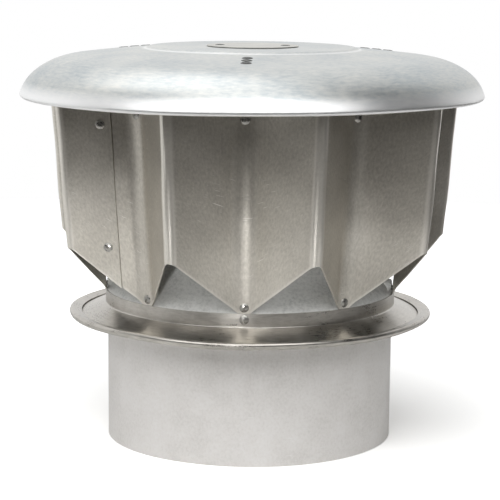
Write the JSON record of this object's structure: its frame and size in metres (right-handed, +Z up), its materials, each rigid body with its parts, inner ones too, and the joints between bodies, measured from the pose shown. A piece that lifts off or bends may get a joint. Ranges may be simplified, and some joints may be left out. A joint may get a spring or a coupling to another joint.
{
  "type": "chimney cap",
  "caption": "Round galvanised chimney cap with a plain spigot, storm skirt, deflector cone, fluted notched wind shield and spun dome.",
  "frame": {"origin": "centre of the circle on which the collar's foot stands, the lowest point of the cap", "axes": "+Z up the flue's axis to the dome, -Y to the front, +X to the right as seen from the front"},
  "size_m": [0.3256, 0.3256, 0.2775],
  "materials": {
    "collar_aluminium": "matt, lightly weathered",
    "cone_steel": "dull galvanised",
    "skirt_steel": "satin galvanised, weathered",
    "shield_steel": "satin galvanised, fine speckle",
    "strap_steel": "dull galvanised",
    "dome_steel": "satin galvanised, spun",
    "plate_steel": "satin galvanised",
    "rivet_aluminium": "bright",
    "mandrel_steel": "plated"
  },
  "bodies": {
    "root": {"collar": "collar_aluminium", "deflector_cone": "cone_steel", "storm_skirt": "skirt_steel", "wind_shield": "shield_steel", "support_ring": "strap_steel", "dome": "dome_steel", "centre_plate": "plate_steel", "hanger_front": "strap_steel", "hanger_right": "strap_steel", "hanger_left": "strap_steel", "tip_rivets": "rivet_aluminium", "tip_rivet_mandrels": "mandrel_steel", "valley_top_rivets": "rivet_aluminium", "valley_top_rivet_mandrels": "mandrel_steel", "seam_rivets": "rivet_aluminium", "seam_rivet_mandrels": "mandrel_steel", "skirt_rivets": "rivet_aluminium", "skirt_rivet_mandrels": "mandrel_steel", "hanger_rivets": "rivet_aluminium", "hanger_rivet_mandrels": "mandrel_steel"}
  },
  "joints": []
}
